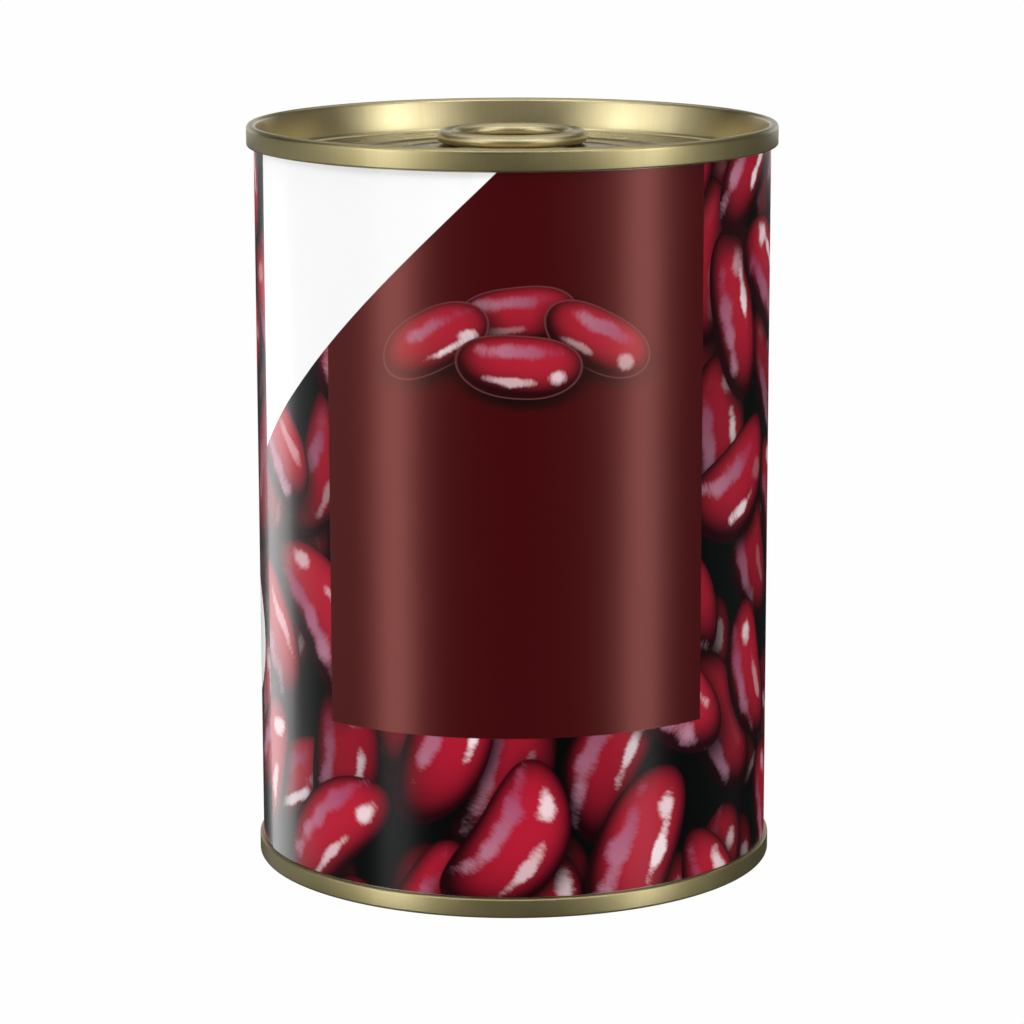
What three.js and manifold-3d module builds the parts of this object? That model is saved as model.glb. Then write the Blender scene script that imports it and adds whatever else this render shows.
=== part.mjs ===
// A shut 400 g food can: a tin body in a wrapped paper label, an easy-open end
// with a ring pull above and a plain end below. Millimetres, +Z up. The origin
// is the middle of the ring that the can stands on.
import * as THREE from "three";
import { mergeVertices } from "three/addons/utils/BufferGeometryUtils.js";
import Module from "manifold-3d";

// Overall size
const canHeight = 107.3;
const bodyRadius = 36.9;
const facets = 72;
const pieceGap = 0.05;
const seamLipRound = 0.3;

// Paper label
const paperThickness = 0.12;
const labelInnerRadius = bodyRadius + pieceGap;
const labelBottom = 2.95;
const labelTop = 104.05;
const overlapEdgeDegrees = -160.1;
const overlapWidthDegrees = 11;
const overlapRampDegrees = 4;

// Top end, measured down from the top of its double seam
const topSeamRadius = 38.1;
const topSeamHeight = 3.1;
const topSeamThickness = 1.35;
const topSeamRound = 0.6;
const topWallFootRadius = 35.95;
const topWallOutside = 36.35;
const topWallFootRise = 0.9;
const topFootFillet = 0.75;
const topCountersinkDepth = 4.95;
const topCountersinkReach = 1.3;
const topPanelReach = 1.9;
const topPanelDepth = 4.7;
const topBeadDepth = 4.4;
const topBeadOuterRadius = 27.0;
const topBeadInnerRadius = 23.4;
// [outside its radius, above the panel] on the bead's slope, [outside its radius, below its top] on its crown
const topBeadSlope = [[0.5, 0], [-0.6, 0.12]];
const topBeadCrown = [[1.4, 0.04], [0.7, 0], [0, 0.08]];
const topBeadFootReach = 1.0;
const topInnerPanelDepth = 4.6;
const topInnerEdgeRadius = 18.7;
const topInnerEdgeHalfWidth = 0.7;
const topInnerEdgeRise = 0.16;
const scoreRadius = 33.7;
const scoreHalfWidth = 0.2;
const scoreDepth = 0.12;
const endMetal = 0.35;

// Bottom end, measured up from the floor
const baseSeamRadius = 37.6;
const baseSeamHeight = 2.8;
const baseSeamThickness = 1.3;
const baseSeamRound = 0.4;
const baseWallFootRadius = 35.3;
const baseWallOutside = 35.95;
const baseCountersinkHeight = 4.3;
// [inside the wall's foot, below the countersink's top]
const baseCountersinkCrown = [[1.5, 0.15], [1.1, 0], [0.5, 0.1], [0, 0.7]];
const basePanelReach = 2.0;
const basePanelHeight = 3.5;
const baseRingHeights = [3.1, 3.5, 3.1];
const baseRingRadii = [30.5, 26.5, 22.0];
const baseRingSlope = 1.1;
const baseTop = 4.8;

// Ring pull: the ring lies towards the middle, its nose towards the rim
const ringOuterRadius = 11.15;
const ringHoleRadius = 7.9;
const ringThickness = 1.8;
const ringValleyDepth = 0.35;
const ringCentre = 13.2;
const ringClearance = 0.15;
const ringFacets = 44;
const noseTip = 33.2;
const noseTipHalfWidth = 3.6;
const noseNeckHalfWidth = 6.4;
const noseNeckPlace = 21.2;
const noseBackHalfWidth = 3.5;
const noseBackPlace = 22.3;
const noseThickness = 0.8;
const noseSideTaper = 0.4;
const noseCornerReach = 1.6;
const noseCornerDrop = 0.4;
const noseTipDrop = 0.2;
const noseTipBulge = 0.5;
const rivetPlace = 28.6;
const rivetStemRadius = 1.7;
const rivetHeadRadius = 2.7;
const rivetHeadThickness = 0.4;
const rivetHeadBevel = 0.5;
const rivetRootRise = 0.1;
const rivetHoleRadius = 2.0;
const rivetFacets = 24;

const wasm = await Module();
wasm.setup();

const degrees = THREE.MathUtils.degToRad;

// Points on an arc in a profile, from one angle to another
function arc(radius, height, size, fromDegrees, toDegrees, steps) {
  const points = [];
  for (let step = 0; step <= steps; step += 1) {
    const angle = degrees(fromDegrees + ((toDegrees - fromDegrees) * step) / steps);
    points.push([radius + size * Math.cos(angle), height + size * Math.sin(angle)]);
  }
  return points;
}

// A profile of [radius, height] points turned round the can's axis
function turned(profile, around = facets) {
  const points = profile.map(([radius, height]) => new THREE.Vector2(radius, height));
  const geometry = new THREE.LatheGeometry(points, around);
  geometry.rotateX(Math.PI / 2);
  return geometry;
}

function named(name, geometry, material) {
  const mesh = new THREE.Mesh(geometry, material);
  mesh.name = name;
  return mesh;
}

function toSolid(geometry) {
  const bare = geometry.clone();
  bare.deleteAttribute("normal");
  bare.deleteAttribute("uv");
  const merged = mergeVertices(bare, 1e-4);
  const index = merged.index.array;
  return new wasm.Manifold(new wasm.Mesh({
    numProp: 3,
    vertProperties: new Float32Array(merged.attributes.position.array),
    triVerts: new Uint32Array(index),
  }));
}

function toGeometry(solid) {
  const mesh = solid.getMesh();
  const geometry = new THREE.BufferGeometry();
  geometry.setAttribute("position", new THREE.BufferAttribute(mesh.vertProperties, 3));
  geometry.setIndex(new THREE.BufferAttribute(mesh.triVerts, 1));
  geometry.computeVertexNormals();
  return geometry;
}

const lacqueredSteel = new THREE.MeshStandardMaterial({ color: 0xb3a578, roughness: 0.35, metalness: 0.9 });
const tabMetal = new THREE.MeshStandardMaterial({ color: 0xbcae80, roughness: 0.3, metalness: 0.9 });
const tinplate = new THREE.MeshStandardMaterial({ color: 0xb9bab6, roughness: 0.35, metalness: 0.9 });
const printedPaper = new THREE.MeshStandardMaterial({ color: 0x7a1a24, roughness: 0.3, metalness: 0.0 });

// The tin wall with what it holds: solid, with a rim that runs up and down into the two seams
function canBody() {
  const bodyTop = canHeight - topCountersinkDepth - endMetal - pieceGap;
  const rimTop = canHeight - topSeamHeight - pieceGap;
  const rimInside = topWallOutside + pieceGap;
  const skirtBottom = baseSeamHeight + pieceGap;
  const skirtInside = baseWallOutside + pieceGap;
  return turned([
    [0, baseTop + pieceGap],
    [skirtInside, baseTop + pieceGap],
    [skirtInside, skirtBottom],
    [bodyRadius, skirtBottom],
    [bodyRadius, rimTop],
    [rimInside, rimTop],
    [rimInside, bodyTop],
    [0, bodyTop],
  ]);
}

// The wrapped paper sleeve. Its glued end lies over the other end, one paper
// thickness proud, and comes down to the tin again behind it.
function label() {
  const outside = labelInnerRadius + paperThickness;
  const proud = outside + paperThickness;
  const outline = new THREE.Shape();
  const place = (radius, angle) => new THREE.Vector2(
    radius * Math.cos(degrees(angle)),
    radius * Math.sin(degrees(angle)),
  );
  const points = [place(outside, overlapEdgeDegrees), place(proud, overlapEdgeDegrees)];
  const step = 360 / facets;
  const firstFacet = Math.ceil(overlapEdgeDegrees / step);
  for (let facet = 0; facet < facets; facet += 1) {
    const angle = (firstFacet + facet) * step;
    const past = angle - overlapEdgeDegrees - overlapWidthDegrees;
    const ramp = THREE.MathUtils.clamp(1 - past / overlapRampDegrees, 0, 1);
    points.push(place(outside + ramp * paperThickness, angle));
  }
  outline.setFromPoints(points);
  const inside = [];
  for (let facet = 0; facet < facets; facet += 1) {
    inside.push(place(labelInnerRadius, facet * step));
  }
  outline.holes.push(new THREE.Path(inside));
  const geometry = new THREE.ExtrudeGeometry(outline, {
    depth: labelTop - labelBottom,
    bevelEnabled: false,
    steps: 1,
  });
  geometry.translate(0, 0, labelBottom);
  return geometry;
}

// The easy-open end: double seam, chuck wall, countersink, score line, beads and
// the rivet that is drawn up out of its panel to hold the ring pull
function lid() {
  const down = (depth) => canHeight - depth;
  const seamFoot = down(topSeamHeight);
  const under = down(topCountersinkDepth + endMetal);
  const seamInside = topSeamRadius - topSeamThickness;
  const panel = turned([
    [0, under],
    [topWallOutside, under],
    [topWallOutside, seamFoot],
    ...arc(topSeamRadius - seamLipRound, seamFoot + seamLipRound, seamLipRound, -90, 0, 2),
    ...arc(topSeamRadius - topSeamRound, canHeight - topSeamRound, topSeamRound, 0, 90, 3),
    ...arc(seamInside + topSeamRound, canHeight - topSeamRound, topSeamRound, 100, 174, 3),
    [topWallFootRadius, down(topCountersinkDepth - topWallFootRise)],
    ...arc(topWallFootRadius - topFootFillet, down(topCountersinkDepth - topFootFillet), topFootFillet, -25, -90, 2),
    [topWallFootRadius - topCountersinkReach, down(topCountersinkDepth)],
    [topWallFootRadius - topPanelReach, down(topPanelDepth)],
    [scoreRadius + scoreHalfWidth, down(topPanelDepth)],
    [scoreRadius, down(topPanelDepth + scoreDepth)],
    [scoreRadius - scoreHalfWidth, down(topPanelDepth)],
    ...topBeadSlope.map(([reach, rise]) => [topBeadOuterRadius + reach, down(topPanelDepth - rise)]),
    ...topBeadCrown.map(([reach, drop]) => [topBeadInnerRadius + reach, down(topBeadDepth + drop)]),
    [topBeadInnerRadius - topBeadFootReach, down(topInnerPanelDepth)],
    [topInnerEdgeRadius + topInnerEdgeHalfWidth, down(topInnerPanelDepth)],
    [topInnerEdgeRadius, down(topInnerPanelDepth - topInnerEdgeRise)],
    [topInnerEdgeRadius - topInnerEdgeHalfWidth, down(topInnerPanelDepth)],
    [0, down(topInnerPanelDepth)],
  ]);
  const plateTop = ringBottom() + noseThickness + pieceGap;
  const stem = turned([
    [0, under + rivetRootRise],
    [rivetStemRadius, under + rivetRootRise],
    [rivetStemRadius, plateTop],
    [rivetHeadRadius, plateTop],
    [rivetHeadRadius, plateTop + rivetHeadThickness / 2],
    [rivetHeadRadius - rivetHeadBevel, plateTop + rivetHeadThickness],
    [0, plateTop + rivetHeadThickness],
  ], rivetFacets);
  stem.translate(0, rivetPlace, 0);
  return toGeometry(toSolid(panel).add(toSolid(stem)));
}

// The ring pull lies just above the inner panel
function ringBottom() {
  return canHeight - topBeadDepth + ringClearance;
}

// A ring with an outer and an inner rolled edge and a shallow valley between
// them, joined to the flat nose that the rivet passes through
function pullTab() {
  const middle = ringBottom() + ringThickness / 2;
  const roll = ringThickness / 2;
  const web = (ringOuterRadius + ringHoleRadius) / 2;
  const valley = roll - ringValleyDepth;
  const section = [
    ...arc(ringOuterRadius - roll, middle, roll, -90, 90, 6),
    [web, middle + valley],
    ...arc(ringHoleRadius + roll, middle, roll, 90, 270, 6),
    [web, middle - valley],
  ];
  section.push(section[0]);
  const ring = turned(section, ringFacets);
  ring.translate(0, ringCentre, 0);

  const outline = new THREE.Shape();
  outline.moveTo(-noseNeckHalfWidth, noseNeckPlace);
  outline.lineTo(-noseBackHalfWidth, noseBackPlace);
  outline.lineTo(noseBackHalfWidth, noseBackPlace);
  outline.lineTo(noseNeckHalfWidth, noseNeckPlace);
  const sideHalfWidth = noseNeckHalfWidth - noseSideTaper;
  const cornerHalfWidth = noseTipHalfWidth + noseCornerReach;
  const cornerPlace = noseTip - noseCornerDrop;
  const tipPlace = noseTip - noseTipDrop;
  outline.lineTo(sideHalfWidth, rivetPlace);
  outline.quadraticCurveTo(cornerHalfWidth, cornerPlace, noseTipHalfWidth, tipPlace);
  outline.quadraticCurveTo(0, noseTip + noseTipBulge, -noseTipHalfWidth, tipPlace);
  outline.quadraticCurveTo(-cornerHalfWidth, cornerPlace, -sideHalfWidth, rivetPlace);
  outline.closePath();
  const hole = new THREE.Path();
  hole.absarc(0, rivetPlace, rivetHoleRadius, 0, 2 * Math.PI, true);
  outline.holes.push(hole);
  const nose = new THREE.ExtrudeGeometry(outline, {
    depth: noseThickness,
    bevelEnabled: false,
    curveSegments: 6,
  });
  nose.translate(0, 0, ringBottom());
  return toGeometry(toSolid(ring).add(toSolid(nose)));
}

// The plain end: seam, chuck wall, countersink and two expansion rings
function base() {
  const seamInside = baseSeamRadius - baseSeamThickness;
  const rings = [];
  let height = basePanelHeight;
  baseRingRadii.forEach((radius, ring) => {
    rings.push([radius + baseRingSlope / 2, height]);
    height = baseRingHeights[ring];
    rings.push([radius - baseRingSlope / 2, height]);
  });
  const underside = [
    [0, height],
    ...rings.reverse(),
    [baseWallFootRadius - basePanelReach, basePanelHeight],
    ...baseCountersinkCrown.map(([reach, drop]) => [baseWallFootRadius - reach, baseCountersinkHeight - drop]),
    ...arc(seamInside + baseSeamRound, baseSeamRound, baseSeamRound, 186, 270, 3),
    ...arc(baseSeamRadius - baseSeamRound, baseSeamRound, baseSeamRound, 270, 360, 3),
    ...arc(baseSeamRadius - seamLipRound, baseSeamHeight - seamLipRound, seamLipRound, 0, 90, 2),
    [baseWallOutside, baseSeamHeight],
    [baseWallOutside, baseTop],
    [0, baseTop],
  ];
  return turned(underside);
}

const can = new THREE.Group();
can.add(named("can_body", canBody(), tinplate));
can.add(named("label", label(), printedPaper));
can.add(named("lid", lid(), lacqueredSteel));
can.add(named("pull_tab", pullTab(), tabMetal));
can.add(named("base", base(), lacqueredSteel));

export default can;
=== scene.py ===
# A shut food can: printed paper label, lacquered easy-open end with its ring pull, plain base.
import math
import random

import bpy
from mathutils import Euler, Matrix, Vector


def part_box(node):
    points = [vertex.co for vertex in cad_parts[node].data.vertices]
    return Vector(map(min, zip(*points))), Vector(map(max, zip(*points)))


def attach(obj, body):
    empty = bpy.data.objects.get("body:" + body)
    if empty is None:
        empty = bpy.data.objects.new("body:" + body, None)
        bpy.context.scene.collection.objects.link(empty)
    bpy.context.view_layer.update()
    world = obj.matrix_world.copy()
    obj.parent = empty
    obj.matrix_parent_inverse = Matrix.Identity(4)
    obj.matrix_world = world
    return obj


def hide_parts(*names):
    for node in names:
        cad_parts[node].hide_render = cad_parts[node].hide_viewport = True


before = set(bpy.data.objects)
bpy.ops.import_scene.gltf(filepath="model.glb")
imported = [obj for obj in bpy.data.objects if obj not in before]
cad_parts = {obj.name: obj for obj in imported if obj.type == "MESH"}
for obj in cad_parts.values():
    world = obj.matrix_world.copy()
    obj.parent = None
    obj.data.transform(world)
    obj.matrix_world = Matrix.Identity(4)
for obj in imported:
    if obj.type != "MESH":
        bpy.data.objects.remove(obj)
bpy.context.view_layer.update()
print("stage: frame loaded,", len(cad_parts), "nodes")

mm = 0.001
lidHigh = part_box("lid")[1]
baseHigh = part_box("base")[1]
canTop = lidHigh[2] / mm  # height of the can in millimetres
seamRadius = lidHigh[0] / mm
baseRadius = baseHigh[0] / mm


def srgb(code):
    parts = [int(code[i:i + 2], 16) / 255 for i in (0, 2, 4)]
    linear = [p / 12.92 if p <= 0.04045 else ((p + 0.055) / 1.055) ** 2.4 for p in parts]
    return (*linear, 1.0)


# Adds a node. options are the node's own settings; an input is a value, a node or one of its outputs
def addNode(tree, kind, options=None, inputs=None):
    node = tree.nodes.new(kind)
    for name, value in (options or {}).items():
        setattr(node, name, value)
    for key, value in (inputs or {}).items():
        if isinstance(value, bpy.types.Node):
            value = next(out for out in value.outputs if out.enabled)
        if isinstance(value, bpy.types.NodeSocket):
            tree.links.new(value, node.inputs[key])
        else:
            node.inputs[key].default_value = value
    return node


def newMaterial(name):
    material = bpy.data.materials.new(name)
    material.use_nodes = True
    material.node_tree.nodes.clear()
    return material, material.node_tree


def nothingSelected():
    bpy.ops.object.select_all(action="DESELECT")


def onlySelected(piece):
    nothingSelected()
    piece.select_set(True)
    bpy.context.view_layer.objects.active = piece


# The place goes into the mesh, so the finished object sits at the origin, unturned
def settle(piece, smoothAngle=40):
    onlySelected(piece)
    bpy.ops.object.transform_apply(location=True, rotation=True, scale=True)
    bpy.ops.object.shade_smooth_by_angle(angle=math.radians(smoothAngle))


def finish(piece, node, material):
    piece.data.materials.clear()
    piece.data.materials.append(material)
    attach(piece, "root")
    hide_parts(node)


def arc(radius, height, size, start, end, steps):
    turns = [math.radians(start + (end - start) * i / steps) for i in range(steps + 1)]
    return [(radius + size * math.cos(t), height + size * math.sin(t)) for t in turns]


# Grows a turned piece from one circle: each loop is extruded, lifted and scaled to the next radius.
# A profile that starts or ends at radius 0 is closed there, otherwise its ends are merged.
def growRings(name, profile, around):
    nothingSelected()
    closedStart = profile[0][0] == 0
    rings = profile[1:] if closedStart else profile
    radius, height = rings[0]
    bpy.ops.mesh.primitive_circle_add(
        vertices=around,
        radius=radius * mm,
        fill_type="TRIFAN" if closedStart else "NOTHING",
        location=(0, 0, height * mm),
    )
    piece = bpy.context.object
    piece.name = piece.data.name = name
    bpy.ops.object.mode_set(mode="EDIT")
    bpy.ops.mesh.select_mode(type="EDGE")
    bpy.ops.mesh.select_all(action="SELECT")
    if closedStart:
        bpy.ops.mesh.region_to_loop()
    for nextRadius, nextHeight in rings[1:]:
        rise = (0, 0, (nextHeight - height) * mm)
        if nextRadius == 0:
            bpy.ops.mesh.extrude_region_move(TRANSFORM_OT_translate={"value": rise})
            bpy.ops.mesh.merge(type="CENTER")
            break
        bpy.ops.mesh.extrude_region_move(TRANSFORM_OT_translate={"value": rise})
        grow = nextRadius / radius
        bpy.ops.transform.resize(value=(grow, grow, 1), center_override=(0, 0, 0))
        radius, height = nextRadius, nextHeight
    bpy.ops.mesh.select_all(action="SELECT")
    bpy.ops.mesh.remove_doubles(threshold=0.000002)
    bpy.ops.mesh.normals_make_consistent(inside=False)
    bpy.ops.object.mode_set(mode="OBJECT")
    return piece


# Camera, as the photo was taken: long lens, a little above the lid
cameraView = {
    "place": (-0.00017, -0.548, 0.1607),
    "pitchDown": 11.40,
    "roll": -0.13,
    "lens": 134.39,
}


def addCamera():
    data = bpy.data.cameras.new("camera")
    data.lens = cameraView["lens"]
    data.sensor_width = 36
    camera = bpy.data.objects.new("camera", data)
    camera.location = cameraView["place"]
    tilt = Euler((math.radians(90 - cameraView["pitchDown"]), 0, 0)).to_matrix()
    roll = Euler((0, 0, math.radians(cameraView["roll"]))).to_matrix()
    camera.rotation_euler = (tilt @ roll).to_euler()
    bpy.context.collection.objects.link(camera)
    bpy.context.scene.camera = camera


# Studio: strips, wings and top lights round the front, one panel overhead, a backdrop and a fill behind
studio = {
    "middle": 0.054,
    "floorSize": 8.0,
    "floorGlow": 0.99,
    "world": 0.018,
}

# Each light: angle to the right of the front, elevation, distance, width, height, power,
# and whether it shows in reflections
lights = {
    "leftStrip": (-53, -5, 0.9, 0.24, 0.68, 2.5, True),
    "rightStrip": (58, -5, 0.9, 0.24, 0.68, 2.2, True),
    "leftHigh": (-58, 13, 1.0, 0.92, 0.28, 1.5, True),
    "rightHigh": (52, 13, 1.0, 0.75, 0.28, 1.6, True),
    "leftSide": (-86, 3, 0.9, 0.50, 0.7, 0.36, True),
    "leftEdge": (-127, -13, 0.9, 0.50, 0.29, 1.18, True),
    "leftFar": (-122, -12, 0.9, 0.72, 0.42, 0.29, True),
    "rightSide": (104, 3, 0.9, 0.60, 0.8, 0.1, True),
    "frontTop": (0, 46, 1.3, 1.8, 0.3, 4.6, True),
    "leftTop": (-54, 46, 1.3, 1.0, 0.3, 2.4, True),
    "rightTop": (54, 46, 1.3, 1.0, 0.3, 2.4, True),
    "overhead": (0, 88, 1.3, 1.6, 1.3, 4.4, True),
    "backTop": (180, 56, 1.3, 1.8, 0.7, 3.2, True),
    "backdrop": (180, 6, 1.6, 2.4, 0.6, 4.0, True),
    "backFill": (180, 0, 1.6, 1.6, 1.6, 36, False),
}


def addStudio():
    for name, (angle, elevation, distance, width, height, power, seen) in lights.items():
        turn = math.radians(angle)
        rise = math.radians(elevation)
        data = bpy.data.lights.new(name, "AREA")
        data.shape = "RECTANGLE"
        data.size = width
        data.size_y = height
        data.energy = power
        light = bpy.data.objects.new(name, data)
        away = distance * math.cos(rise)
        light.location = (
            away * math.sin(turn), -away * math.cos(turn), studio["middle"] + distance * math.sin(rise),
        )
        light.rotation_euler = (math.radians(90) - rise, 0, turn)
        light.visible_camera = False
        light.visible_glossy = seen
        bpy.context.collection.objects.link(light)

    world = bpy.data.worlds.new("studioDark")
    world.use_nodes = True
    background = world.node_tree.nodes["Background"]
    background.inputs["Color"].default_value = (1, 1, 1, 1)
    background.inputs["Strength"].default_value = studio["world"]
    bpy.context.scene.world = world

    nothingSelected()
    bpy.ops.mesh.primitive_plane_add(size=studio["floorSize"], location=(0, 0, 0))
    floor = bpy.context.object
    floor.name = "floor"
    # an opal glass table lit from below: even white, with no shadow under the can
    material, tree = newMaterial("opalLightTable")
    glow = addNode(tree, "ShaderNodeEmission", inputs={"Strength": studio["floorGlow"]})
    addNode(tree, "ShaderNodeOutputMaterial", inputs={"Surface": glow})
    floor.data.materials.append(material)
    floor.visible_glossy = False
    floor.visible_shadow = False
    bpy.context.scene.view_settings.view_transform = "Standard"


# Rolled aluminium under a clear gold lacquer: satin, with hairline marks drawn out by the press
lacquer = {
    "colour": "d4c698",
    # the panel and seam colours are darker copies of the lacquer colour: painted shade
    "panelColour": "a5976d",
    "seamColour": "ab9f71",
    "metallic": 0.94,
    "coat": 0.5,
    "coatRoughness": 0.28,
    "panelRoughness": 0.26,
    "tabRoughness": 0.40,
    "wallRoughness": 0.34,
    "seamRoughness": 0.44,
    "crownRoughness": 0.36,
    "hairlines": 0.5,
    "hairlineSpacing": 0.35,
    "hairlineRadius": 36,
    "hairlineStretch": 60,
    "hairlineTint": "f1f1ee",
    "hairlineRelief": 0.08,
    "cloudScale": 140.0,
    "unevenness": 0.16,
    "unevennessMiddle": 0.12,
    # radii in millimetres: where the panel turns into the wall, and the wall into the seam
    "wallStart": (35.1, 35.7),
    "seamStart": (36.7, 37.3),
    # millimetres below the top of the seam
    "crownStart": (0.8, 0.5),
}


def lacqueredMetal(name, roughness, turned):
    material, tree = newMaterial(name)
    place = addNode(tree, "ShaderNodeTexCoord").outputs["Object"]
    parts = addNode(tree, "ShaderNodeSeparateXYZ", inputs={0: place})
    angle = addNode(
        tree, "ShaderNodeMath", {"operation": "ARCTAN2"}, {0: parts.outputs[1], 1: parts.outputs[0]},
    )
    drawnOut = lacquer["hairlineStretch"]
    # on the ends the hairlines run down the walls and out over the panel, so they follow the angle;
    # on the ring pull they run straight along the strip that it is pressed from
    if turned:
        around = addNode(tree, "ShaderNodeCombineXYZ", inputs={0: angle, 2: parts.outputs[2]})
        perTurn = lacquer["hairlineRadius"] / lacquer["hairlineSpacing"]
        stretch = addNode(
            tree, "ShaderNodeVectorMath", {"operation": "MULTIPLY"}, {0: around, 1: (perTurn, 1, drawnOut)},
        )
    else:
        perMetre = 1000 / lacquer["hairlineSpacing"]
        stretch = addNode(
            tree, "ShaderNodeVectorMath", {"operation": "MULTIPLY"},
            {0: place, 1: (perMetre, drawnOut, drawnOut)},
        )
    hair = addNode(
        tree, "ShaderNodeTexNoise", {"noise_dimensions": "3D"},
        {"Vector": stretch, "Scale": 1.0, "Detail": 2.0, "Roughness": 0.6},
    )
    cloud = addNode(
        tree, "ShaderNodeTexNoise", {"noise_dimensions": "3D"},
        {"Vector": place, "Scale": lacquer["cloudScale"], "Detail": 3.0},
    )
    mixed = addNode(
        tree, "ShaderNodeMath", {"operation": "MULTIPLY_ADD"},
        {0: hair.outputs[0], 1: lacquer["hairlines"], 2: cloud.outputs[0]},
    )
    # the seaming tools leave the outside of the seams duller than the inner wall and the panel
    fromAxis = addNode(tree, "ShaderNodeVectorMath", {"operation": "MULTIPLY"}, {0: place, 1: (1, 1, 0)})
    radius = addNode(tree, "ShaderNodeVectorMath", {"operation": "LENGTH"}, {0: fromAxis})
    wallFrom, wallTo = lacquer["wallStart"]
    onWall = addNode(
        tree, "ShaderNodeMapRange", {}, {0: radius.outputs[1], 1: wallFrom * mm, 2: wallTo * mm},
    )
    seamFrom, seamTo = lacquer["seamStart"]
    onSeam = addNode(
        tree, "ShaderNodeMapRange", {}, {0: radius.outputs[1], 1: seamFrom * mm, 2: seamTo * mm},
    )
    drawn = addNode(
        tree, "ShaderNodeMix", {},
        {0: onWall, 2: roughness, 3: lacquer["wallRoughness"]},
    )
    # the crown of the top seam is rubbed smoother than its side
    crownFrom, crownTo = [(canTop - depth) * mm for depth in lacquer["crownStart"]]
    onCrown = addNode(
        tree, "ShaderNodeMapRange", {}, {0: parts.outputs[2], 1: crownFrom, 2: crownTo},
    )
    seam = addNode(
        tree, "ShaderNodeMix", {},
        {0: onCrown, 2: lacquer["seamRoughness"], 3: lacquer["crownRoughness"]},
    )
    rolled = addNode(tree, "ShaderNodeMix", {}, {0: onSeam, 2: drawn, 3: seam})
    uneven = addNode(
        tree, "ShaderNodeMath", {"operation": "MULTIPLY_ADD"},
        {0: mixed, 1: lacquer["unevenness"], 2: rolled},
    )
    rough = addNode(
        tree, "ShaderNodeMath", {"operation": "SUBTRACT"}, {0: uneven, 1: lacquer["unevennessMiddle"]},
    )
    # painted shade: the flat panel is given a deeper gold than the drawn wall, and the seams the darkest
    # gold, though all are the same lacquered sheet
    flat = srgb(lacquer["panelColour"] if turned else lacquer["colour"])
    inside = addNode(
        tree, "ShaderNodeMix", {"data_type": "RGBA"},
        {0: onWall, 6: flat, 7: srgb(lacquer["colour"])},
    )
    gold = addNode(
        tree, "ShaderNodeMix", {"data_type": "RGBA"},
        {0: onSeam, 6: inside, 7: srgb(lacquer["seamColour"])},
    )
    tint = addNode(
        tree, "ShaderNodeMix", {"data_type": "RGBA", "blend_type": "MULTIPLY"},
        {0: hair.outputs[0], 6: gold, 7: srgb(lacquer["hairlineTint"])},
    )
    unrubbed = addNode(
        tree, "ShaderNodeMapRange", {}, {0: onCrown, 3: lacquer["hairlineRelief"], 4: 0.0},
    )
    bump = addNode(
        tree, "ShaderNodeBump", {},
        {"Strength": unrubbed, "Distance": 0.0001, "Height": hair.outputs[0]},
    )
    shader = addNode(
        tree, "ShaderNodeBsdfPrincipled", {},
        {
            "Base Color": tint, "Metallic": lacquer["metallic"], "Roughness": rough, "Normal": bump,
            "Coat Weight": lacquer["coat"], "Coat Roughness": lacquer["coatRoughness"],
        },
    )
    addNode(tree, "ShaderNodeOutputMaterial", inputs={"Surface": shader})
    return material


# Easy-open end, millimetres down from the top of its seam
lidForm = {
    "around": 192,
    "seamHeight": 3.1,
    "seamThickness": 1.35,
    "seamRound": 0.6,
    "wallFoot": 35.95,
    "wallLean": 0.02,
    "wallStraight": 0.2,
    "wallOutside": 36.35,
    "lipRound": 0.3,
    "countersink": 4.95,
    "footFillet": 0.75,
    "footFlat": 1.2,
    "footTurn": 0.2,
    "footRise": 0.35,
    "panel": 4.7,
    "score": 33.7,
    "scoreHalf": 0.2,
    "scoreDepth": 0.12,
    # curves across the panel: outside the score or the named radius, above the panel or the bead's top
    "panelStart": ((0.45, -0.03), (0.36, 0)),
    "beadOuter": 27.0,
    "beadOuterCurve": ((0.9, 0), (0.3, 0.03), (-0.5, 0.12)),
    "beadInner": 23.4,
    "bead": 4.4,
    "beadCrown": ((1.6, -0.08), (1.1, -0.02), (0.6, 0), (0.1, -0.03), (-0.4, -0.13)),
    "innerPanel": 4.6,
    "beadInnerCurve": ((-0.9, 0.02), (-1.4, 0)),
    "innerEdge": 18.7,
    "innerEdgeCurve": ((0.8, 0), (0.3, 0.08), (0, 0.16), (-0.3, 0.08), (-0.8, 0)),
    "middleRing": 9.0,
    "metal": 0.35,
}


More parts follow.
